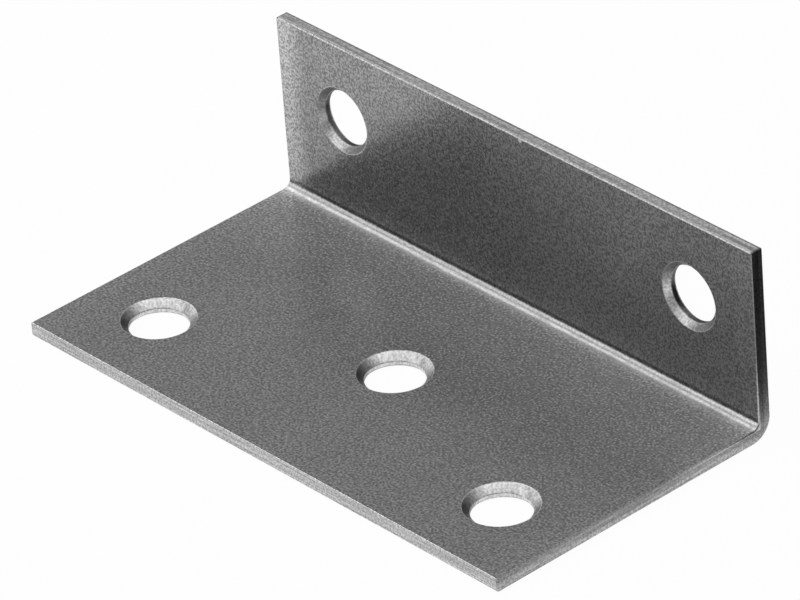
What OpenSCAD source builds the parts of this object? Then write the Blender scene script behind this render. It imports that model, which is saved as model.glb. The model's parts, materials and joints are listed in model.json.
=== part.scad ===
// Angle bracket: one steel sheet folded square into a wide base flange and a
// narrower upright flange, with countersunk screw holes through both.
// Frame: +X along the fold, +Y towards the back face of the upright, +Z up.
// Origin: centre of the bounding box, on the underside of the base.

/* [Sheet] */
// Length of the bracket along the fold
bracket_length = 75; // [60:1:150]
// Depth of the base, from its front edge to the back face of the upright
base_depth = 40; // [32:0.5:80]
// Height of the upright, from the underside of the base to its top edge
upright_height = 23.5; // [20:0.5:60]
// Thickness of the sheet
sheet_thickness = 1.6; // [1.3:0.1:2.5]
// Radius on the inside of the fold
inner_bend_radius = 1; // [0.4:0.1:3]
// Radius of the free corners of both flanges
corner_radius = 0.2; // [0.1:0.1:3]

/* [Screw holes] */
// Diameter of the straight part of each hole
hole_diameter = 6.8; // [4:0.1:9]
// Depth of the countersink below the inner face
countersink_depth = 0.85; // [0.3:0.05:1.1]
// Full angle of the countersink
countersink_angle = 90; // [60:1:110]
// Width of the edge break where a hole leaves the outer face
exit_break = 0.3; // [0.1:0.05:0.4]
// Distance of the paired holes from the ends of the bracket
end_setback = 10; // [7:0.5:16]
// Distance of the front pair from the front edge of the base
front_setback = 10; // [7:0.5:16]
// Distance of the middle hole from the back face of the upright
middle_setback = 20; // [12:0.5:24]
// Distance of the upright pair below its top edge
upright_drop = 9.5; // [6:0.5:12]

/* [Hidden] */
$fn = 96;
// How far the cutters run past the surfaces that they cut
cut_margin = 1;
outer_bend_radius = inner_bend_radius + sheet_thickness;
hole_radius = hole_diameter / 2;
front_y = -base_depth / 2;
back_y = base_depth / 2;
pair_x = bracket_length / 2 - end_setback;
front_pair_y = front_y + front_setback;
middle_hole_y = back_y - middle_setback;
upright_pair_z = upright_height - upright_drop;

// Rectangle whose lower back corner is round
module section_block(front, back, bottom, top, radius) {
    translate([front, bottom])
        square([back - radius - front, top - bottom]);
    translate([front, bottom + radius])
        square([back - front, top - bottom - radius]);
    translate([back - radius, bottom + radius])
        circle(r = radius);
}

// Section across the fold: the front edge lies to the left and the upright to the right
module folded_section() {
    difference() {
        section_block(front_y, back_y, 0, upright_height, outer_bend_radius);
        section_block(
            front_y - cut_margin,
            back_y - sheet_thickness,
            sheet_thickness,
            upright_height + cut_margin,
            inner_bend_radius
        );
    }
}

// The folded sheet before its holes and corners are cut
module folded_sheet() {
    rotate([90, 0, 90])
        linear_extrude(height = bracket_length, center = true)
            folded_section();
}

// Screw hole through a flange that fills z from 0 up to the sheet's thickness: it is
// countersunk in the upper face, and its edge is broken at the lower one
module screw_hole() {
    countersink_slope = tan(countersink_angle / 2);
    mouth_radius = hole_radius + (countersink_depth + cut_margin) * countersink_slope;
    rotate_extrude()
        polygon([
            [0, -cut_margin],
            [hole_radius + exit_break + cut_margin, -cut_margin],
            [hole_radius, exit_break],
            [hole_radius, sheet_thickness - countersink_depth],
            [mouth_radius, sheet_thickness + cut_margin],
            [0, sheet_thickness + cut_margin]
        ]);
}

// What a rounded corner leaves off a flange: the corner is at the origin and points
// towards +X and +Y
module corner_waste() {
    side = corner_radius + cut_margin;
    depth = sheet_thickness + 2 * cut_margin;
    translate([-corner_radius, -corner_radius, -cut_margin])
        difference() {
            cube([side, side, depth]);
            translate([0, 0, -cut_margin])
                cylinder(h = depth + 2 * cut_margin, r = corner_radius);
        }
}

// A hole and a corner at each end of a flange that lies flat, with its free edge at
// edge_y and facing towards +Y (facing = 1) or -Y (facing = -1)
module end_cuts(hole_y, edge_y, facing) {
    for (side = [-1, 1]) {
        translate([side * pair_x, hole_y, 0])
            screw_hole();
        translate([side * bracket_length / 2, edge_y, 0])
            mirror([1 - side, 0, 0])
                mirror([0, 1 - facing, 0])
                    corner_waste();
    }
}

// Stands cuts made in a flat flange up in the upright, so that their +Y becomes +Z
module in_upright() {
    translate([0, back_y, 0])
        rotate([90, 0, 0])
            children();
}

module bracket() {
    color("dimgray")
        difference() {
            folded_sheet();
            end_cuts(front_pair_y, front_y, -1);
            translate([0, middle_hole_y, 0])
                screw_hole();
            in_upright()
                end_cuts(upright_pair_z, upright_height, 1);
        }
}

bracket();
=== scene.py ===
"""Looks of a countersunk angle bracket: the folded steel sheet, its finish and a plain stage.

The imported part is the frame. The sheet is modelled again here with the worn, rolled-over
edges of real pressed work, and it stands for the part's one solid.
"""

import json
import math

import bmesh
import bpy
from mathutils import Matrix, Vector


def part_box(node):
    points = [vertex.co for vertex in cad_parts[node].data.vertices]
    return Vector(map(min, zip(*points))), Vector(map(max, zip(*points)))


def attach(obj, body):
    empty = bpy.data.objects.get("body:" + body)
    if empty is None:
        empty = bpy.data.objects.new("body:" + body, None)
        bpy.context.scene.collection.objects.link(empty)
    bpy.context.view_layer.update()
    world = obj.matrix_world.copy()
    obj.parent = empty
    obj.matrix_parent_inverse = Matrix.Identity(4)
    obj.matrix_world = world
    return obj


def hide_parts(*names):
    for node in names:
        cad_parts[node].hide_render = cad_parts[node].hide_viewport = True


bl_info = {
    "name": "Angle Bracket",
    "version": (1, 0, 0),
    "blender": (4, 5, 0),
    "location": "3D View > Sidebar > Bracket",
    "description": "Builds a countersunk angle bracket in bare steel, with a plain stage around it",
    "category": "Add Mesh",
}

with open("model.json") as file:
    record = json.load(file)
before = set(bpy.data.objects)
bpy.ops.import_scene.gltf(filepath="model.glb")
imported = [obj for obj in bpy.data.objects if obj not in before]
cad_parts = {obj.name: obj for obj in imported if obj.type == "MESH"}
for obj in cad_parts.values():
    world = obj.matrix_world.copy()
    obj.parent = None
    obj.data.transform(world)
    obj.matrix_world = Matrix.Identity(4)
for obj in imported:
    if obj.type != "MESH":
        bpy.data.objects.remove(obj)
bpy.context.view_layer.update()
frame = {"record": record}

NODE = "bracket"
BODY = "root"
PIECE = "bracket_sheet"
LOW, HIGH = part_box(NODE)
MM = 0.001
WHITE = (1, 1, 1, 1)

# Lengths closer than SLACK count as equal, and vertices closer than WELD are one
SLACK = 2e-6
WELD = 1e-6
FOLD_STEPS = 16
CORNER_STEPS = 4
ROUNDING_STEPS = 3
# Edges that turn more than this are rounded
SHARP = math.radians(30)
# How far a hole's pad runs past its mouth, and how far from the hole its corners can lie
PAD_MARGIN = 0.5 * MM
PAD_LIMIT = 7.5 * MM

# Material slots of the sheared edges and the walls of the holes; slot 0 is the rolled faces
EDGE, BORE = 1, 2
# Map on the walls of the holes, and the direction from which it is measured round them
TURNED_MAP = "turned"
CUT_START = Vector((-1, 1, -1))
# The painted light round the walls of the holes is brightest this many radians short of CUT_START
PAINTED_LIGHT_LEAN = 0.17
SPECK_COLOUR = (0.9, 0.9, 0.9, 1)
SCRATCH_SHARE = 0.25
# How far the middle of the nick lies below the top edge
NICK_DROP = 0.22 * MM

# How white the floor shows to the camera, and the share of that which gloss sees
FLOOR_WHITE = 0.96
FLOOR_IN_GLOSS = 0.55
FLOOR_SIZE = 6
CARD_COLOUR = (0.01, 0.01, 0.01, 1)
WORLD_LEVEL = 0.06
SENSOR_WIDTH = 36
NEAREST, FARTHEST = 0.05, 20
MOUNTS = {mount["name"]: mount for mount in frame["record"]["mounts"]}


def mount_holes(name):
    """Places along the fold and across the flange of the holes of one mount, and their radius."""
    mount = MOUNTS[name]
    dims = mount["dims"]
    place = Vector(mount["pos_m"])
    reach = dims.get("spacing_x_mm", 0) * MM / 2
    sides = (-1, 1) if reach else (0,)
    radius = dims.get("hole_r_mm", dims.get("r_mm")) * MM
    return [place + Vector((side * reach, 0, 0)) for side in sides], radius


def hole_radius():
    """Radius of the straight part of every hole."""
    return mount_holes("front_screw_pair")[1]


def base_mouth(holes):
    """Radius of the mouth of a countersink in the base."""
    return hole_radius() + holes.countersink_depth * math.tan(holes.countersink_angle / 2)


def inner_faces(sizes):
    """Height of the base's inner face, and place across the fold of the upright's."""
    return LOW.z + sizes.thickness, LOW.y + sizes.depth - sizes.thickness


# ---------------------------------------------------------------- sizes and colours


class SheetSizes(bpy.types.PropertyGroup):
    """Sizes of the folded sheet."""

    length: bpy.props.FloatProperty(
        name="Length", description="Length along the fold",
        default=HIGH.x - LOW.x, unit="LENGTH",
    )
    depth: bpy.props.FloatProperty(
        name="Depth", description="Depth of the base, out to the back of the upright",
        default=HIGH.y - LOW.y, unit="LENGTH",
    )
    height: bpy.props.FloatProperty(
        name="Height", description="Height of the upright from the underside of the base",
        default=HIGH.z - LOW.z, unit="LENGTH",
    )
    thickness: bpy.props.FloatProperty(
        name="Thickness", description="Thickness of the sheet",
        default=1.6 * MM, unit="LENGTH",
    )
    bend_radius: bpy.props.FloatProperty(
        name="Bend radius", description="Radius on the inside of the fold",
        default=1.0 * MM, unit="LENGTH",
    )
    corner_radius: bpy.props.FloatProperty(
        name="Corner radius", description="Radius of the four free corners",
        default=0.2 * MM, unit="LENGTH",
    )
    arris: bpy.props.FloatProperty(
        name="Arris", description="Width of the rounding on the sheared edges",
        default=0.1 * MM, unit="LENGTH",
    )
    rollover: bpy.props.FloatProperty(
        name="Rollover", description="Width of the rolled-over edge at the two ends",
        default=0.18 * MM, unit="LENGTH",
    )


class HoleSizes(bpy.types.PropertyGroup):
    """Sizes of the countersunk screw holes."""

    countersink_depth: bpy.props.FloatProperty(
        name="Countersink depth", description="Depth of the cones in the base",
        default=0.85 * MM, unit="LENGTH",
    )
    upright_depth: bpy.props.FloatProperty(
        name="Upright countersink depth", description="Depth of the cones in the upright",
        default=0.68 * MM, unit="LENGTH",
    )
    countersink_angle: bpy.props.FloatProperty(
        name="Countersink angle", description="Full angle of the cone",
        default=math.radians(90), subtype="ANGLE", unit="ROTATION",
    )
    exit_break: bpy.props.FloatProperty(
        name="Exit break", description="Width of the break where a hole leaves the sheet",
        default=0.3 * MM, unit="LENGTH",
    )
    rim: bpy.props.FloatProperty(
        name="Rim", description="Width of the rounding on the rims of the holes",
        default=0.06 * MM, unit="LENGTH",
    )
    sides: bpy.props.IntProperty(
        name="Sides", description="Facets around each hole, a multiple of four",
        default=64, min=16,
    )


class SteelFinish(bpy.types.PropertyGroup):
    """Colours and texture of the bare steel."""

    face_colour: bpy.props.FloatVectorProperty(
        name="Face", description="Colour of the rolled faces of the base",
        default=(0.31, 0.31, 0.31), subtype="COLOR",
    )
    bright_colour: bpy.props.FloatVectorProperty(
        name="Bright face", description="Colour of the smoother, more metallic upright",
        default=(0.29, 0.29, 0.29), subtype="COLOR",
    )
    # Colour of the painted highlight along the inside of the fold
    fold_highlight_colour: bpy.props.FloatVectorProperty(
        name="Rubbed fold", description="Colour of the metal rubbed bright inside the fold",
        default=(0.5, 0.5, 0.5), subtype="COLOR",
    )
    edge_colour: bpy.props.FloatVectorProperty(
        name="Sheared edge", description="Colour of the sheared edges",
        default=(0.6, 0.6, 0.6), subtype="COLOR",
    )
    rollover_colour: bpy.props.FloatVectorProperty(
        name="Rolled-over edge", description="Colour of the rounding along the sheared edges",
        default=(0.6, 0.6, 0.6), subtype="COLOR",
    )
    bore_colour: bpy.props.FloatVectorProperty(
        name="Countersink", description="Colour of the cut metal inside the screw holes",
        default=(0.8, 0.8, 0.8), subtype="COLOR",
    )
    face_roughness: bpy.props.FloatProperty(
        name="Face roughness", description="Roughness of the rolled faces",
        default=0.26, min=0, max=1, subtype="FACTOR",
    )
    edge_roughness: bpy.props.FloatProperty(
        name="Edge roughness", description="Roughness of the sheared edges",
        default=0.4, min=0, max=1, subtype="FACTOR",
    )
    fold_roughness: bpy.props.FloatProperty(
        name="Fold roughness", description="Roughness of the rubbed metal inside the fold",
        default=0.42, min=0, max=1, subtype="FACTOR",
    )
    bore_roughness: bpy.props.FloatProperty(
        name="Countersink roughness", description="Roughness of the cut metal in the holes",
        default=0.42, min=0, max=1, subtype="FACTOR",
    )
    mottle: bpy.props.FloatProperty(
        name="Mottle", description="Width of one mottle of the grain",
        default=0.26 * MM, unit="LENGTH",
    )
    grain: bpy.props.FloatProperty(
        name="Grain", description="How strongly the grain lightens and darkens the steel",
        default=0.42, min=0, max=1, subtype="FACTOR",
    )
    nick: bpy.props.FloatProperty(
        name="Nick", description="Place along the fold of a bright nick under the top edge",
        default=2.0 * MM, unit="LENGTH",
    )
    wear: bpy.props.FloatProperty(
        name="Wear", description="How strongly handling marks, specks and scratches show",
        default=0.5, min=0, max=1, subtype="FACTOR",
    )


class StageSettings(bpy.types.PropertyGroup):
    """Floor colour and camera."""

    floor_colour: bpy.props.FloatVectorProperty(
        name="Floor", description="Colour of the floor",
        default=(0.9, 0.9, 0.9), subtype="COLOR",
    )
    azimuth: bpy.props.FloatProperty(
        name="Azimuth", description="Turn of the camera round the bracket, from the front",
        default=math.radians(49.68), subtype="ANGLE", unit="ROTATION",
    )
    elevation: bpy.props.FloatProperty(
        name="Elevation", description="Height of the camera above the horizon",
        default=math.radians(32.08), subtype="ANGLE", unit="ROTATION",
    )
    roll: bpy.props.FloatProperty(
        name="Roll", description="Turn of the camera about its own line of sight",
        default=math.radians(-4.36), subtype="ANGLE", unit="ROTATION",
    )
    distance: bpy.props.FloatProperty(
        name="Distance", description="Distance from the camera to the point it aims at",
        default=0.873, unit="LENGTH",
    )
    aim: bpy.props.FloatVectorProperty(
        name="Aim", description="Point that the camera aims at",
        default=(1.826 * MM, -0.049 * MM, 11.558 * MM), subtype="TRANSLATION",
    )
    lens: bpy.props.FloatProperty(
        name="Lens", description="Focal length of the camera in millimetres",
        default=365.7,
    )


# ---------------------------------------------------------------- modelling helpers


def start_clean():
    """Leaves edit mode and deselects everything."""
    if bpy.context.object is not None and bpy.context.object.mode != "OBJECT":
        bpy.ops.object.mode_set(mode="OBJECT")
    bpy.ops.object.select_all(action="DESELECT")


def pick(obj, kind, test):
    """Selects only the vertices, edges or faces of obj that pass the test, in edit mode."""
    bpy.ops.mesh.select_mode(type=kind)
    bpy.ops.mesh.select_all(action="DESELECT")
    mesh = bmesh.from_edit_mesh(obj.data)
    every = {"VERT": mesh.verts, "EDGE": mesh.edges, "FACE": mesh.faces}[kind]
    found = [element for element in every if test(element)]
    if not found:
        raise RuntimeError(f"{obj.name}: nothing of kind {kind} passes the test")
    for element in found:
        element.select_set(True)
    mesh.select_flush_mode()
    bmesh.update_edit_mesh(obj.data)


def near(a, b):
    return abs(a - b) < SLACK


def middle(edge):
    return (edge.verts[0].co + edge.verts[1].co) / 2


def apply_modifiers(obj):
    """Applies every modifier of obj, in order."""
    start_clean()
    bpy.context.view_layer.objects.active = obj
    obj.select_set(True)
    for modifier in list(obj.modifiers):
        bpy.ops.object.modifier_apply(modifier=modifier.name)


# ---------------------------------------------------------------- the folded sheet


def fold_sheet(sizes):
    """One sheet drawn back from its front edge, round the fold and up to its top edge."""
    front, back = LOW.y, LOW.y + sizes.depth
    outer_radius = sizes.bend_radius + sizes.thickness
    fold_y, fold_z = back - outer_radius, LOW.z + outer_radius
    start_clean()
    bpy.ops.mesh.primitive_plane_add(
        size=1, location=(0, front, LOW.z + sizes.thickness / 2), rotation=(math.pi / 2, 0, 0)
    )
    sheet = bpy.context.object
    sheet.name = sheet.data.name = PIECE
    sheet.scale = (sizes.length, sizes.thickness, 1)
    bpy.ops.object.transform_apply(location=True, rotation=True, scale=True)
    bpy.ops.object.mode_set(mode="EDIT")
    bpy.ops.mesh.select_all(action="SELECT")
    bpy.ops.mesh.extrude_region_move(TRANSFORM_OT_translate={"value": (0, fold_y - front, 0)})
    bpy.ops.mesh.spin(
        steps=FOLD_STEPS, angle=-math.pi / 2, center=(0, fold_y, fold_z), axis=(1, 0, 0)
    )
    top = LOW.z + sizes.height
    bpy.ops.mesh.extrude_region_move(TRANSFORM_OT_translate={"value": (0, 0, top - fold_z)})
    bpy.ops.mesh.select_all(action="SELECT")
    bpy.ops.mesh.normals_make_consistent(inside=False)
    return sheet


def cut_across(place, normal):
    bpy.ops.mesh.select_all(action="SELECT")
    bpy.ops.mesh.bisect(plane_co=place, plane_no=normal)


def cut_pads(base_places, upright_places, reach):
    """Cuts a square pad round each hole into both faces of the sheet."""
    for x in sorted({round(place.x, 6) for place in base_places + upright_places}):
        for side in (-reach, reach):
            cut_across((x + side, 0, 0), (1, 0, 0))
    for y in sorted({round(place.y, 6) for place in base_places}):
        for side in (-reach, reach):
            cut_across((0, y + side, 0), (0, 1, 0))
    z = upright_places[0].z
    for side in (-reach, reach):
        cut_across((0, 0, z + side), (0, 0, 1))


def mark_circle(sheet, place, outward, drop, radius, sides):
    """Cuts the pad at this depth into sectors about the hole's axis, and opens their shared
    corner into a circle of this radius."""
    centre = place - outward * drop
    across = outward.orthogonal().normalized()

    def in_pad(face):
        middle_point = face.calc_center_median()
        level = abs(face.normal.dot(outward)) > 0.9
        return level and all((v.co - centre).length < PAD_LIMIT for v in face.verts) and near(
            (middle_point - centre).dot(outward), 0
        )

    for step in range(sides // 2):
        pick(sheet, "FACE", in_pad)
        turn = Matrix.Rotation(2 * math.pi * step / sides, 3, outward)
        bpy.ops.mesh.bisect(plane_co=centre, plane_no=turn @ across)
    pick(sheet, "VERT", lambda vert: (vert.co - centre).length < WELD)
    bpy.ops.mesh.bevel(offset=radius, affect="VERTICES")


def drill(sheet, place, outward, sheet_thickness, radius, holes):
    """A countersunk hole through one pad. place is on the inner face, and outward points
    from it to the screw's head."""
    cone = holes.upright_depth if abs(outward.y) > 0.5 else holes.countersink_depth
    mouth = radius + cone * math.tan(holes.countersink_angle / 2)
    exit_radius = radius + holes.exit_break
    land = sheet_thickness - cone - holes.exit_break
    mark_circle(sheet, place, outward, 0, mouth, holes.sides)
    mark_circle(sheet, place, outward, sheet_thickness, exit_radius, holes.sides)

    def cap(drop):
        centre = place - outward * drop
        return lambda face: len(face.verts) == holes.sides and (
            face.calc_center_median() - centre
        ).length < 1e-5

    pick(sheet, "FACE", cap(0))
    drop = 0
    for fall, wide, narrow in (
        (cone, mouth, radius),
        (land, radius, radius),
        (holes.exit_break, radius, exit_radius),
    ):
        drop += fall
        bpy.ops.mesh.extrude_region_move(TRANSFORM_OT_translate={"value": -outward * fall})
        scale = [1 if abs(part) > 0.5 else narrow / wide for part in outward]
        bpy.ops.transform.resize(value=scale, center_override=place - outward * drop)
    pick(sheet, "FACE", cap(sheet_thickness))
    bpy.ops.mesh.delete(type="ONLY_FACE")
    bpy.ops.mesh.select_all(action="SELECT")
    bpy.ops.mesh.remove_doubles(threshold=WELD)


def round_corners(sheet, sizes):
    """Rounds the free corners of both flanges."""
    ends = sizes.length / 2
    front, top = LOW.y, LOW.z + sizes.height

    def corner(edge):
        a, b = (v.co for v in edge.verts)
        on_end = near(abs(a.x), ends) and near(abs(b.x), ends)
        at_front = near(a.y, front) and near(b.y, front)
        at_top = near(a.z, top) and near(b.z, top)
        return on_end and (at_front or at_top)

    pick(sheet, "EDGE", corner)
    bpy.ops.mesh.bevel(offset=sizes.corner_radius, segments=CORNER_STEPS, affect="EDGES")


def weigh_edges(sheet, sizes, holes):
    """Marks how wide each sharp edge is rounded, as a share of the widest: the rims of the
    holes least, and the inner edge of the two ends most, fading out round the corners."""
    inner_z, inner_y = inner_faces(sizes)
    widest = max(sizes.arris, sizes.rollover, holes.rim)

    def on_inner_face(edge):
        return all(
            v.co.z > inner_z - SLACK and v.co.y < inner_y + SLACK for v in edge.verts
        )

    def width(edge):
        if any((middle(edge) - place).length < PAD_LIMIT for place in hole_places(sizes)):
            return holes.rim
        if not on_inner_face(edge):
            return sizes.arris
        along = (edge.verts[1].co - edge.verts[0].co).normalized().x
        return sizes.rollover + (sizes.arris - sizes.rollover) * along**2

    mesh = bmesh.from_edit_mesh(sheet.data)
    weight = mesh.edges.layers.float.new("bevel_weight_edge")
    for edge in mesh.edges:
        if edge.calc_face_angle() > SHARP:
            edge[weight] = width(edge) / widest
    bmesh.update_edit_mesh(sheet.data)
    return widest


def soften_edges(sheet, width):
    """Rounds the weighted edges and keeps the broad faces flat in the shading."""
    bpy.ops.object.mode_set(mode="OBJECT")
    rounding = sheet.modifiers.new("Edge rounding", "BEVEL")
    rounding.limit_method = "WEIGHT"
    rounding.offset_type = "OFFSET"
    rounding.width = width
    rounding.segments = ROUNDING_STEPS
    rounding.material = EDGE
    rounding.use_clamp_overlap = False
    normals = sheet.modifiers.new("Face weighted normals", "WEIGHTED_NORMAL")
    normals.keep_sharp = True
    apply_modifiers(sheet)


def in_bore(face, sizes, mouth):
    """The place and direction of the hole whose wall the face belongs to, or None."""
    for place, outward in hole_axes(sizes):
        offsets = [v.co - place for v in face.verts]
        flat = [offset - outward * offset.dot(outward) for offset in offsets]
        if all(offset.length < mouth + SLACK for offset in flat) and abs(
            face.normal.dot(outward)
        ) < 0.9:
            return place, outward
    return None


def unwrap_bores(sheet, sizes, mouth):
    """A map for the walls of the holes: metres round the hole from CUT_START, and metres
    below the face."""
    mesh = bmesh.from_edit_mesh(sheet.data)
    turned = mesh.loops.layers.uv.new(TURNED_MAP)
    for face in mesh.faces:
        hole = in_bore(face, sizes, mouth)
        if hole is None:
            continue
        place, outward = hole
        across = CUT_START - outward * CUT_START.dot(outward)
        across.normalize()
        beside = outward.cross(across)
        centre = face.calc_center_median() - place
        middle_turn = math.atan2(centre.dot(beside), centre.dot(across))
        for loop in face.loops:
            spot = loop.vert.co - place
            turn = math.atan2(spot.dot(beside), spot.dot(across)) - middle_turn
            turn = (turn + math.pi) % (2 * math.pi) - math.pi + middle_turn
            loop[turned].uv = (turn * mouth, -spot.dot(outward))
    bmesh.update_edit_mesh(sheet.data)


def finish_faces(sheet, sizes, mouth, materials):
    """Gives the sheared faces and the walls of the holes their own finish."""
    for material in materials:
        sheet.data.materials.append(material)
    reach = sizes.corner_radius + SLACK
    end, front = sizes.length / 2 - reach, LOW.y + reach
    top = LOW.z + sizes.height - reach

    def sheared(face):
        spots = [v.co for v in face.verts]
        on_end = abs(face.normal.x) > 0.1 and all(abs(p.x) > end for p in spots)
        on_front = abs(face.normal.z) < 0.5 and all(p.y < front for p in spots)
        on_top = abs(face.normal.y) < 0.5 and all(p.z > top for p in spots)
        return on_end or on_front or on_top

    tests = ((EDGE, sheared), (BORE, lambda face: in_bore(face, sizes, mouth) is not None))
    for index, test in tests:
        pick(sheet, "FACE", test)
        sheet.active_material_index = index
        bpy.ops.object.material_slot_assign()


def base_holes(sizes):
    """Places of the base's holes on its inner face."""
    pair, _ = mount_holes("front_screw_pair")
    middle_one, _ = mount_holes("middle_screw_hole")
    inner_z, _ = inner_faces(sizes)
    return [Vector((p.x, p.y, inner_z)) for p in pair + middle_one]


def upright_holes(sizes):
    """Places of the upright's holes on its inner face."""
    pair, _ = mount_holes("upright_screw_pair")
    _, inner_y = inner_faces(sizes)
    return [Vector((p.x, inner_y, p.z)) for p in pair]


def hole_places(sizes):
    return base_holes(sizes) + upright_holes(sizes)


def hole_axes(sizes):
    """Every hole's place on the inner face, with the direction out of it."""
    return [(place, Vector((0, 0, 1))) for place in base_holes(sizes)] + [
        (place, Vector((0, -1, 0))) for place in upright_holes(sizes)
    ]


class BRACKET_OT_sheet(bpy.types.Operator):
    """Model the folded sheet with its countersunk holes and give it its finish"""

    bl_idname = "bracket.sheet"
    bl_label = "Folded Sheet"

    def execute(self, context):
        scene = context.scene
        sizes, holes = scene.bracket_sheet, scene.bracket_holes
        mouth = base_mouth(holes)
        sheet = fold_sheet(sizes)
        cut_pads(base_holes(sizes), upright_holes(sizes), mouth + PAD_MARGIN)
        for place, outward in hole_axes(sizes):
            drill(sheet, place, outward, sizes.thickness, hole_radius(), holes)
        round_corners(sheet, sizes)
        bpy.ops.mesh.select_all(action="SELECT")
        bpy.ops.mesh.normals_make_consistent(inside=False)
        unwrap_bores(sheet, sizes, mouth)
        finish_faces(sheet, sizes, mouth, steel_materials(scene.bracket_steel, sizes))
        widest = weigh_edges(sheet, sizes, holes)
        bpy.ops.mesh.faces_shade_smooth()
        soften_edges(sheet, widest)
        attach(sheet, BODY)
        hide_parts(NODE)
        return {"FINISHED"}


# ---------------------------------------------------------------- steel


def add(tree, kind, inputs=None, **settings):
    """Adds a shader node. inputs holds plain values and sockets, by name or number."""
    node = tree.nodes.new(kind)
    for name, value in settings.items():
        setattr(node, name, value)
    for key, value in (inputs or {}).items():
        if isinstance(value, bpy.types.NodeSocket):
            tree.links.new(value, node.inputs[key])
        else:
            node.inputs[key].default_value = value
    return node


def maths(tree, operation, *values):
    return add(tree, "ShaderNodeMath", dict(enumerate(values)), operation=operation).outputs[0]


def spread(tree, value, low, high, to_low, to_high, smooth=False):
    """Maps a value from one range to another and keeps it inside."""
    kind = "SMOOTHSTEP" if smooth else "LINEAR"
    inputs = {"Value": value, 1: low, 2: high, 3: to_low, 4: to_high}
    return add(tree, "ShaderNodeMapRange", inputs, interpolation_type=kind).outputs[0]


def between(tree, share, first, second):
    """A value that goes from the first to the second as the share goes from 0 to 1."""
    return add(tree, "ShaderNodeMix", {0: share, 2: first, 3: second}).outputs[0]


def around_one(tree, amount, share):
    """A tone that lightens or darkens: 1 plus the amount times the share."""
    return maths(tree, "MULTIPLY_ADD", amount, share, 1)


def blend(tree, share, first, second, how="MIX"):
    inputs = {0: share, 6: first, 7: second}
    node = add(tree, "ShaderNodeMix", inputs, data_type="RGBA", blend_type=how)
    return node.outputs[2]


def start_group(name, inputs, outputs):
    """A shader node group with these sockets, its own inputs and its own outputs."""
    group = bpy.data.node_groups.new(name, "ShaderNodeTree")
    for socket_name, kind, default in inputs:
        socket = group.interface.new_socket(
            socket_name, in_out="INPUT", socket_type="NodeSocket" + kind
        )
        if kind == "Float":
            socket.default_value = default
    for socket_name in outputs:
        group.interface.new_socket(
            socket_name, in_out="OUTPUT", socket_type="NodeSocketFloat"
        )
    inside = group.nodes.new("NodeGroupInput").outputs
    results = group.nodes.new("NodeGroupOutput").inputs
    return group, inside, results


def mill_grain_group():
    """The fine mottle of bare steel: a tone round 1, and a height for a bump."""
    group, inside, results = start_group(
        "Mill Grain",
        (("Place", "Vector", None), ("Mottle", "Float", 0.3 * MM), ("Strength", "Float", 0.3)),
        ("Tone", "Height"),
    )
    scale = maths(group, "DIVIDE", 1, inside["Mottle"])
    noise = add(
        group, "ShaderNodeTexNoise",
        {"Vector": inside["Place"], "Scale": scale, "Detail": 0},
    )
    darkest = maths(group, "SUBTRACT", 1, inside["Strength"])
    lightest = maths(group, "ADD", 1, inside["Strength"])
    tone = spread(group, noise.outputs["Fac"], 0.28, 0.72, darkest, lightest)
    group.links.new(tone, results["Tone"])
    group.links.new(noise.outputs["Fac"], results["Height"])
    return group


def handling_group():
    """Marks of handling: broad clouds round 1, bright specks and fine scratches."""
    group, inside, results = start_group(
        "Handling Marks",
        (("Place", "Vector", None), ("Cloud", "Float", 9 * MM), ("Strength", "Float", 0.5)),
        ("Cloud", "Specks", "Scratches"),
    )
    place, strength = inside["Place"], inside["Strength"]
    broad = add(
        group, "ShaderNodeTexNoise",
        {"Vector": place, "Scale": maths(group, "DIVIDE", 1, inside["Cloud"]), "Detail": 3},
    )
    centred = maths(group, "SUBTRACT", broad.outputs["Fac"], 0.5)
    cloud = around_one(group, centred, maths(group, "MULTIPLY", strength, 0.4))
    group.links.new(cloud, results["Cloud"])
    cells = add(group, "ShaderNodeTexVoronoi", {"Vector": place, "Scale": 1 / (2.6 * MM)})
    close = spread(group, cells.outputs["Distance"], 0.035, 0.075, 1, 0)
    chance = add(group, "ShaderNodeSeparateColor", {0: cells.outputs["Color"]}).outputs[0]
    few = spread(group, chance, 0.93, 0.95, 0, 1)
    specks = maths(group, "MULTIPLY", maths(group, "MULTIPLY", close, few), strength)
    group.links.new(specks, results["Specks"])
    aslant = add(
        group, "ShaderNodeMapping",
        {"Vector": place, "Rotation": (0.5, 0.9, 0.35), "Scale": (60, 1800, 1800)},
    )
    hair = add(
        group, "ShaderNodeTexNoise",
        {"Vector": aslant.outputs[0], "Scale": 1, "Detail": 0, "Distortion": 0.4},
    )
    thin = spread(group, hair.outputs["Fac"], 0.8, 0.86, 0, 1)
    here = spread(group, broad.outputs["Fac"], 0.6, 0.66, 0, 1)
    seldom = maths(group, "MULTIPLY", thin, here)
    group.links.new(maths(group, "MULTIPLY", seldom, strength), results["Scratches"])
    return group


def sheet_depth_group():
    """How far a point lies below the sheet's inner face, and how far along the sheet."""
    group, inside, results = start_group(
        "Depth In Sheet",
        (
            ("Place", "Vector", None),
            ("Base Face", "Float", 1.6 * MM),
            ("Upright Face", "Float", 18.4 * MM),
        ),
        ("Depth", "Along"),
    )
    parts = add(group, "ShaderNodeSeparateXYZ", {0: inside["Place"]}).outputs
    below_base = maths(group, "SUBTRACT", inside["Base Face"], parts["Z"])
    behind_upright = maths(group, "SUBTRACT", parts["Y"], inside["Upright Face"])
    depth = maths(group, "SMOOTH_MAX", below_base, behind_upright, 0.4 * MM)
    group.links.new(depth, results["Depth"])
    run = maths(group, "SUBTRACT", parts["Y"], parts["Z"])
    group.links.new(maths(group, "ADD", parts["X"], run), results["Along"])
    return group


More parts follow.
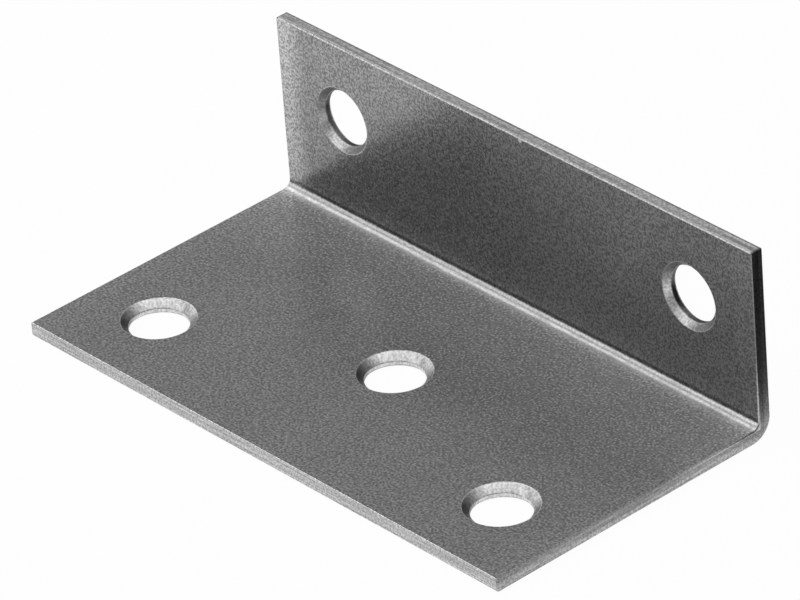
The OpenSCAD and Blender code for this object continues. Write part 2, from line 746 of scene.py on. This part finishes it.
def streak_group():
    """Drawn-out streaks, from 0 to 1, long one way and narrow the other."""
    group, inside, results = start_group(
        "Streaks",
        (
            ("Along", "Float", 0),
            ("Across", "Float", 0),
            ("Length", "Float", 4 * MM),
            ("Width", "Float", 0.15 * MM),
        ),
        ("Streak",),
    )
    long_way = maths(group, "DIVIDE", inside["Along"], inside["Length"])
    short_way = maths(group, "DIVIDE", inside["Across"], inside["Width"])
    plane = add(group, "ShaderNodeCombineXYZ", {0: long_way, 1: short_way}).outputs[0]
    noise = add(group, "ShaderNodeTexNoise", {"Vector": plane, "Scale": 1, "Detail": 2})
    group.links.new(spread(group, noise.outputs["Fac"], 0.3, 0.7, 0, 1), results["Streak"])
    return group


def start_material(name):
    material = bpy.data.materials.new(name)
    material.use_nodes = True
    tree = material.node_tree
    place = add(tree, "ShaderNodeTexCoord").outputs["Object"]
    return material, tree, tree.nodes["Principled BSDF"], place


def use_group(tree, groups, name, **inputs):
    node = tree.nodes.new("ShaderNodeGroup")
    node.node_tree = groups[name]
    for key, value in inputs.items():
        socket = node.inputs[key.replace("_", " ")]
        if isinstance(value, bpy.types.NodeSocket):
            tree.links.new(value, socket)
        else:
            socket.default_value = value
    return node.outputs


def tint(tree, colour, *tones):
    """A colour made lighter and darker by each of the tones."""
    for tone in tones:
        colour = blend(tree, 1.0, colour, tone, "MULTIPLY")
    return colour


def bump(tree, shader, height, distance, strength=1.0):
    node = add(
        tree, "ShaderNodeBump", {"Strength": strength, "Distance": distance, "Height": height}
    )
    tree.links.new(node.outputs[0], shader.inputs["Normal"])


def fold_highlight_and_crease(tree, above, before, radius):
    """Where the painted highlight lies inside the fold, from 0 to 1, and the tone of a dark
    crease of painted shade that runs over it."""
    low_enough = spread(tree, above, radius * 0.5, radius * 0.64, 1, 0, smooth=True)
    deep_enough = spread(tree, before, radius * 0.9, radius * 1.6, 1, 0, smooth=True)
    highlit = maths(tree, "MINIMUM", low_enough, deep_enough)
    # Painted shade: a dark line running along the fold
    over_crease = spread(tree, above, radius * 0.6, radius * 0.72, 0, 1, smooth=True)
    under_crease = spread(tree, above, radius * 0.9, radius * 1.2, 1, 0, smooth=True)
    in_crease = maths(tree, "MULTIPLY", over_crease, under_crease)
    return highlit, around_one(tree, in_crease, -0.6)


def painted_fold_highlight(tree, finish, groups, parts, before, radius):
    """Colour of the painted highlight inside the fold, streaked along the fold and lightest by the
    upright.
    """
    streak = use_group(
        tree, groups, "Streaks", Along=parts["X"], Across=parts["Z"],
        Length=3 * MM, Width=0.12 * MM,
    )["Streak"]
    streaky = spread(tree, streak, 0, 1, 0.85, 1.1)
    brightest_by_upright = spread(tree, before, radius * 0.16, radius * 0.4, 1.5, 0.62, smooth=True)
    return tint(tree, (*finish.fold_highlight_colour, 1), streaky, brightest_by_upright)


def painted_light_by_fold(tree, above, before, radius):
    """Painted light on the base, which grows lighter towards the fold and most of all beside it."""
    close_fold = spread(tree, before, radius, 2 * MM, 0.85, 0, smooth=True)
    near_fold = spread(tree, before, radius, 4.5 * MM, 0.4, 0, smooth=True)
    out_of_fold = spread(tree, before, radius * 0.55, radius * 0.95, 0.36, 1.25)
    beside_fold = maths(tree, "MINIMUM", maths(tree, "ADD", close_fold, near_fold), out_of_fold)
    towards_fold = spread(tree, before, 0, 15 * MM, 0.3, -0.1, smooth=True)
    level = spread(tree, above, 0.1 * MM, 0.6 * MM, 1, 0)
    return around_one(tree, maths(tree, "ADD", beside_fold, towards_fold), level)


def end_tones(tree, along, standing, ends):
    """Tones of the two ends: one lighter near both ends, and one a painted reflection on the
    upright near its ends, strongest at the left end.
    """
    # Lighter near both ends
    lighter_near_ends = spread(tree, maths(tree, "ABSOLUTE", along), ends - 5 * MM, ends, 1, 1.1, smooth=True)
    # Painted reflection on the upright near its ends, strongest at the left end
    left_end_reflection = spread(tree, along, 4.5 * MM - ends, 1 * MM - ends, 0, 0.6, smooth=True)
    other_end = spread(tree, along, ends - 8 * MM, ends, 0, 0.06, smooth=True)
    end_reflections = maths(tree, "ADD", left_end_reflection, other_end)
    return lighter_near_ends, around_one(tree, end_reflections, standing)


def nick_mask(tree, place, along, sizes):
    """A small spot on the upright's inner face, just under its top edge, from 0 to 1."""
    _, inner_y = inner_faces(sizes)
    middle_of_nick = (along, inner_y, LOW.z + sizes.height - NICK_DROP)
    from_nick = add(
        tree, "ShaderNodeVectorMath", {0: place, 1: middle_of_nick}, operation="DISTANCE"
    ).outputs["Value"]
    return spread(tree, from_nick, 0.2 * MM, 0.38 * MM, 1, 0, smooth=True)


def rolled_face_material(finish, sizes, groups):
    """The dull rolled skin of the sheet, with a painted highlight along the inside of the fold and
    painted light and shade on the base and upright.
    """
    material, tree, shader, place = start_material("rolled_face")
    grain = use_group(
        tree, groups, "Mill Grain", Place=place, Mottle=finish.mottle, Strength=finish.grain
    )
    marks = use_group(tree, groups, "Handling Marks", Place=place, Strength=finish.wear)
    parts = add(tree, "ShaderNodeSeparateXYZ", {0: place}).outputs
    radius, ends = sizes.bend_radius, sizes.length / 2
    inner_z, inner_y = inner_faces(sizes)
    above = maths(tree, "SUBTRACT", parts["Z"], inner_z)
    before = maths(tree, "SUBTRACT", inner_y, parts["Y"])
    standing = spread(tree, above, radius * 0.5, radius * 0.9, 0, 1)
    highlit, painted_crease_shade = fold_highlight_and_crease(tree, above, before, radius)

    skin = blend(tree, standing, (*finish.face_colour, 1), (*finish.bright_colour, 1))
    metal = painted_fold_highlight(tree, finish, groups, parts, before, radius)
    # The painted highlight inside the fold, laid over the skin
    base = blend(tree, highlit, skin, metal)
    calm = maths(tree, "MULTIPLY", highlit, 0.6)
    mottle = between(tree, calm, grain["Tone"], 1)
    # Painted light on the base beside the fold
    painted_fold_light = painted_light_by_fold(tree, above, before, radius)
    lighter_near_ends, painted_end_reflection = end_tones(tree, parts["X"], standing, ends)
    # Painted shade low on the upright, fading to slight painted light near its top
    higher = spread(tree, above, 2 * MM, 20 * MM, -0.22, 0.08)
    painted_upright_shade = around_one(tree, higher, standing)
    # Lighter towards the end at -X and darker towards the end at +X
    tone_along_fold = spread(tree, parts["X"], -ends, ends, 1.03, 0.98)
    # Handling clouds together with the painted fold light, the painted crease shade, the painted
    # end reflection, the painted shade low on the upright, and the tones near the ends and along
    # the fold
    worn = (marks["Cloud"], painted_fold_light, painted_crease_shade, lighter_near_ends, painted_end_reflection, painted_upright_shade, tone_along_fold)
    base = tint(tree, base, mottle, *worn)
    in_nick = nick_mask(tree, place, finish.nick, sizes)
    scratches = maths(tree, "MULTIPLY", marks["Scratches"], SCRATCH_SHARE)
    light = maths(tree, "MAXIMUM", marks["Specks"], scratches)
    light = maths(tree, "MAXIMUM", light, in_nick)
    base = blend(tree, light, base, SPECK_COLOUR)
    tree.links.new(base, shader.inputs["Base Color"])

    bare = spread(tree, standing, 0, 1, 0.5, 0.9)
    metallic = between(tree, highlit, bare, 0.88)
    metallic = maths(tree, "MULTIPLY", metallic, spread(tree, in_nick, 0, 1, 1, 0.4))
    tree.links.new(metallic, shader.inputs["Metallic"])
    shader.inputs["Specular IOR Level"].default_value = 0.3
    uneven = maths(tree, "MULTIPLY_ADD", grain["Height"], 0.08, finish.face_roughness - 0.04)
    coarser = spread(tree, parts["X"], -8 * MM, 14 * MM, 0, 0.13, smooth=True)
    uneven = maths(tree, "MULTIPLY_ADD", coarser, standing, uneven)
    roughness = between(tree, highlit, uneven, finish.fold_roughness)
    tree.links.new(roughness, shader.inputs["Roughness"])
    bump(tree, shader, grain["Height"], 0.006 * MM)
    return material


def sheared_edge_material(finish, sizes, groups):
    """Edges cut by the shear: the face's skin rolled over, a bright streaky band, then torn
    metal. The two ends carry painted shade, darkest high on the upright, and the top edge has a
    painted highlight on a lip and a dark burr."""
    material, tree, shader, place = start_material("sheared_edge")
    grain = use_group(
        tree, groups, "Mill Grain", Place=place, Mottle=finish.mottle, Strength=finish.grain * 0.6
    )
    marks = use_group(tree, groups, "Handling Marks", Place=place, Strength=finish.wear)
    inner_z, inner_y = inner_faces(sizes)
    where = use_group(
        tree, groups, "Depth In Sheet", Place=place, Base_Face=inner_z, Upright_Face=inner_y
    )
    streak = use_group(
        tree, groups, "Streaks", Along=where["Along"], Across=where["Depth"],
        Length=14 * MM, Width=0.24 * MM,
    )["Streak"]
    skin = spread(tree, where["Depth"], 0.04 * MM, 0.3 * MM, 0, 1, smooth=True)
    torn = spread(tree, where["Depth"], 0.7 * MM, 1.1 * MM, 0, 1, smooth=True)
    bright = tint(tree, (*finish.edge_colour, 1), spread(tree, streak, 0, 1, 0.66, 1.28))
    bright = tint(tree, bright, spread(tree, torn, 0, 1, 0.94, 1.06))
    base = blend(tree, skin, (*finish.rollover_colour, 1), bright)
    parts = add(tree, "ShaderNodeSeparateXYZ", {0: place}).outputs
    to_end, height_up = maths(tree, "ABSOLUTE", parts["X"]), parts["Z"]
    ends = sizes.length / 2
    # Painted shade and light on the two end faces: on the base's ends darker just under the skin
    # and, along the top arris, darker towards the front and lighter towards the fold; on the
    # upright's end halved in tone from 5 mm up
    on_end = spread(tree, to_end, ends - 0.3 * MM, ends - 0.2 * MM, 0, 1)
    high_up = spread(tree, height_up, 5 * MM, 10 * MM, 0, 1)
    under_skin = spread(tree, where["Depth"], 0.3 * MM, 1.2 * MM, -0.4, -0.16)
    on_arris = spread(tree, where["Depth"], 0.14 * MM, 0.3 * MM, 1, 0)
    near_fold = spread(tree, parts["Y"], 4 * MM, 13 * MM, -0.36, 0.2)
    shade_low_down = between(tree, on_arris, under_skin, near_fold)
    shade_by_height = between(tree, high_up, shade_low_down, -0.5)
    painted_end_shade = around_one(tree, on_end, shade_by_height)
    top = LOW.z + sizes.height
    on_top = spread(tree, height_up, top - 0.5 * MM, top - 0.3 * MM, 0, 1)
    # Painted highlight along the top edge, on a lip just behind its front arris
    behind_lip = spread(tree, where["Depth"], 0.3 * MM, 0.55 * MM, 1, 0, smooth=True)
    before_lip = spread(tree, where["Depth"], 0.08 * MM, 0.16 * MM, 0.14, 0.4)
    painted_lip_highlight = around_one(tree, maths(tree, "MULTIPLY", behind_lip, before_lip), on_top)
    back = sizes.thickness
    at_burr = spread(tree, where["Depth"], back - 0.34 * MM, back - 0.2 * MM, 0, -0.5)
    burr = around_one(tree, at_burr, on_top)
    base = tint(tree, base, grain["Tone"], marks["Cloud"], painted_end_shade, painted_lip_highlight, burr)
    tree.links.new(base, shader.inputs["Base Color"])
    shader.inputs["Metallic"].default_value = 0.95
    rough = maths(tree, "MULTIPLY_ADD", torn, 0.08, finish.edge_roughness)
    tree.links.new(rough, shader.inputs["Roughness"])
    height = maths(tree, "ADD", grain["Height"], maths(tree, "MULTIPLY", streak, 0.5))
    bump(tree, shader, height, 0.003 * MM)
    return material


def countersink_material(finish, groups):
    """Metal cut inside the screw holes, with the tool's turned rings and its chatter, and painted
    light and shade that make one side of each wall brighter. The straight part of the upright's
    holes is darkened with painted shade."""
    holes = bpy.context.scene.bracket_holes
    land_start = holes.upright_depth
    mouth = base_mouth(holes)
    material, tree, shader, place = start_material("countersink")
    grain = use_group(
        tree, groups, "Mill Grain", Place=place, Mottle=finish.mottle, Strength=finish.grain * 0.5
    )
    turned = add(tree, "ShaderNodeUVMap", uv_map=TURNED_MAP).outputs[0]
    parts = add(tree, "ShaderNodeSeparateXYZ", {0: turned}).outputs
    rings = use_group(
        tree, groups, "Streaks", Along=parts["X"], Across=parts["Y"],
        Length=6 * MM, Width=0.09 * MM,
    )["Streak"]
    chatter = use_group(
        tree, groups, "Streaks", Along=parts["Y"], Across=parts["X"],
        Length=1.5 * MM, Width=0.22 * MM,
    )["Streak"]
    where = add(tree, "ShaderNodeSeparateXYZ", {0: place}).outputs
    standing = spread(tree, where["Z"], 4 * MM, 5 * MM, 0, 1)
    # Painted light and shade round each hole: lighter on one side of the wall and darker on the
    # other
    turn = maths(tree, "MULTIPLY_ADD", parts["X"], 1 / mouth, PAINTED_LIGHT_LEAN)
    cut = maths(tree, "COSINE", turn)
    base_bore_shading = spread(tree, cut, -0.3, 0.75, 0.14, 1, smooth=True)
    upright_bore_shading = spread(tree, cut, 0.2, 1, 0.5, 1.4, smooth=True)
    painted_bore_shading = between(tree, standing, base_bore_shading, upright_bore_shading)
    # Painted shade in the upright's holes, darkest on their straight part
    in_land = spread(tree, parts["Y"], land_start, land_start + 0.08 * MM, 0.2, 0.8)
    scale = maths(tree, "MULTIPLY", standing, in_land)
    base = tint(
        tree, (*finish.bore_colour, 1), spread(tree, rings, 0, 1, 0.9, 1.08),
        spread(tree, chatter, 0, 1, 0.85, 1.12), grain["Tone"], maths(tree, "SUBTRACT", 1, scale),
        painted_bore_shading,
    )
    tree.links.new(base, shader.inputs["Base Color"])
    shader.inputs["Metallic"].default_value = 1
    rough = maths(tree, "MULTIPLY_ADD", chatter, 0.1, finish.bore_roughness - 0.05)
    tree.links.new(rough, shader.inputs["Roughness"])
    height = maths(tree, "ADD", rings, maths(tree, "MULTIPLY", chatter, 0.8))
    bump(tree, shader, height, 0.0015 * MM)
    return material


def steel_materials(finish, sizes):
    groups = {
        group.name: group
        for group in (mill_grain_group(), handling_group(), sheet_depth_group(), streak_group())
    }
    return [
        rolled_face_material(finish, sizes, groups),
        sheared_edge_material(finish, sizes, groups),
        countersink_material(finish, groups),
    ]


# ---------------------------------------------------------------- stage


def matt_material(name, colour):
    """A material with no gloss at all."""
    material = bpy.data.materials.new(name)
    material.use_nodes = True
    shader = material.node_tree.nodes["Principled BSDF"]
    shader.inputs["Base Color"].default_value = colour
    shader.inputs["Roughness"].default_value = 1
    shader.inputs["Specular IOR Level"].default_value = 0
    return material, material.node_tree, shader


def floor_material(colour):
    """Pale matt floor that shows as white from above and lets a view from below through."""
    material, tree, shader = matt_material("pale_floor", (*colour, 1))
    rays = add(tree, "ShaderNodeLightPath").outputs
    reflected = maths(tree, "MULTIPLY", rays["Is Glossy Ray"], FLOOR_IN_GLOSS)
    seen = maths(tree, "MAXIMUM", rays["Is Camera Ray"], reflected)
    share = maths(tree, "MULTIPLY", seen, FLOOR_WHITE)
    white = add(tree, "ShaderNodeEmission", {"Color": WHITE}).outputs[0]
    shown = add(tree, "ShaderNodeMixShader", {0: share, 1: shader.outputs[0], 2: white})
    clear = add(tree, "ShaderNodeBsdfTransparent").outputs[0]
    below = add(tree, "ShaderNodeNewGeometry").outputs["Backfacing"]
    sided = add(tree, "ShaderNodeMixShader", {0: below, 1: shown.outputs[0], 2: clear})
    tree.links.new(sided.outputs[0], tree.nodes["Material Output"].inputs["Surface"])
    return material


def lay_floor(stage):
    start_clean()
    bpy.ops.mesh.primitive_plane_add(size=FLOOR_SIZE, location=(0, 0, LOW.z))
    floor = bpy.context.object
    floor.name = "floor"
    floor.data.materials.append(floor_material(stage.floor_colour))


def bearing(azimuth, elevation):
    """Direction from the bracket to a point at this azimuth and elevation."""
    level = math.cos(elevation)
    return Vector(
        (math.sin(azimuth) * level, -math.cos(azimuth) * level, math.sin(elevation))
    )


# Name, azimuth and elevation in degrees, distance and diameter in metres, and radiance
LAMPS = (
    ("overhead_softbox", 45, 76, 0.6, 1.0, 0.9),
    ("back_softbox", -130, 32, 0.6, 0.8, 0.28),
    ("right_softbox", 140, 45, 0.6, 1.0, 0.3),
    ("key_lamp", -85, 52, 0.8, 0.48, 2.4),
    ("side_lamp", -85, 20, 0.8, 0.48, 0.9),
    ("front_lamp", -25, 24, 0.8, 0.48, 1.75),
)

UPRIGHT = (math.pi / 2, 0, math.pi / 2)
FLAT = (0, 0, 0)
# Name, centre with its height above the floor, turn, width and height
CARDS = (
    ("right_card", (HIGH.x + 3.5 * MM, HIGH.y + 20 * MM, 22.5 * MM), UPRIGHT, 47 * MM, 45 * MM),
    ("back_card", (-5 * MM, HIGH.y + 18 * MM, 0.3 * MM), FLAT, 34 * MM, 30 * MM),
)


def hang_lamps():
    for name, azimuth, elevation, distance, size, radiance in LAMPS:
        toward = bearing(math.radians(azimuth), math.radians(elevation))
        light = bpy.data.lights.new(name, "AREA")
        light.shape = "DISK"
        light.size = size
        light.energy = radiance * (math.pi * size / 2) ** 2
        lamp = bpy.data.objects.new(name, light)
        lamp.location = toward * distance
        lamp.rotation_euler = toward.to_track_quat("Z", "Y").to_euler()
        bpy.context.scene.collection.objects.link(lamp)


def lay_cards():
    """Black cards out of the camera's sight, which darken only what the gloss reflects."""
    material, _, _ = matt_material("black_card", CARD_COLOUR)
    for name, place, turn, width, height in CARDS:
        start_clean()
        above_floor = Vector(place) + Vector((0, 0, LOW.z))
        bpy.ops.mesh.primitive_plane_add(size=1, location=above_floor, rotation=turn)
        card = bpy.context.object
        card.name = name
        card.scale = (width, height, 1)
        bpy.ops.object.transform_apply(location=True, rotation=True, scale=True)
        card.visible_camera = card.visible_diffuse = card.visible_shadow = False
        card.data.materials.append(material)


def studio_world():
    """A dim studio that shows white behind the bracket."""
    world = bpy.data.worlds.new("studio")
    world.use_nodes = True
    tree = world.node_tree
    seen = add(tree, "ShaderNodeLightPath").outputs["Is Camera Ray"]
    level = maths(tree, "MAXIMUM", seen, WORLD_LEVEL)
    tree.links.new(level, tree.nodes["Background"].inputs["Color"])
    return world


def set_camera(stage):
    azimuth, elevation, roll = stage.azimuth, stage.elevation, stage.roll
    back = bearing(azimuth, elevation)
    right = Vector((math.cos(azimuth), math.sin(azimuth), 0))
    up = back.cross(right)
    turned_right = right * math.cos(roll) + up * math.sin(roll)
    turned_up = up * math.cos(roll) - right * math.sin(roll)
    lens = bpy.data.cameras.new("camera")
    lens.sensor_width = SENSOR_WIDTH
    lens.lens = stage.lens
    camera = bpy.data.objects.new("camera", lens)
    bpy.context.scene.collection.objects.link(camera)
    axes = Matrix((turned_right, turned_up, back)).transposed().to_4x4()
    camera.matrix_world = Matrix.Translation(Vector(stage.aim) + back * stage.distance) @ axes
    lens.clip_start, lens.clip_end = NEAREST, FARTHEST
    bpy.context.scene.camera = camera


class BRACKET_OT_stage(bpy.types.Operator):
    """Set up the floor, the lamps and the camera"""

    bl_idname = "bracket.stage"
    bl_label = "Stage"

    def execute(self, context):
        stage = context.scene.bracket_stage
        lay_floor(stage)
        hang_lamps()
        lay_cards()
        set_camera(stage)
        context.scene.world = studio_world()
        context.scene.view_settings.view_transform = "Standard"
        return {"FINISHED"}


class BRACKET_PT_panel(bpy.types.Panel):
    """Shows the bracket's settings and the buttons that build it"""

    bl_label = "Angle Bracket"
    bl_idname = "BRACKET_PT_panel"
    bl_space_type = "VIEW_3D"
    bl_region_type = "UI"
    bl_category = "Bracket"

    def draw(self, context):
        layout = self.layout
        for name, group in PROPERTY_GROUPS.items():
            box = layout.box()
            for field in group.__annotations__:
                box.prop(getattr(context.scene, name), field)
        for operator in OPERATORS:
            layout.operator(operator.bl_idname)


PROPERTY_GROUPS = {
    "bracket_sheet": SheetSizes,
    "bracket_holes": HoleSizes,
    "bracket_steel": SteelFinish,
    "bracket_stage": StageSettings,
}
OPERATORS = (BRACKET_OT_sheet, BRACKET_OT_stage)
CLASSES = (*PROPERTY_GROUPS.values(), *OPERATORS, BRACKET_PT_panel)


def register():
    for each in CLASSES:
        bpy.utils.register_class(each)
    for name, group in PROPERTY_GROUPS.items():
        setattr(bpy.types.Scene, name, bpy.props.PointerProperty(type=group))


def unregister():
    for name in PROPERTY_GROUPS:
        delattr(bpy.types.Scene, name)
    for each in reversed(CLASSES):
        bpy.utils.unregister_class(each)


def main():
    register()
    bpy.ops.bracket.sheet()
    bpy.ops.bracket.stage()


if __name__ == "__main__":
    main()
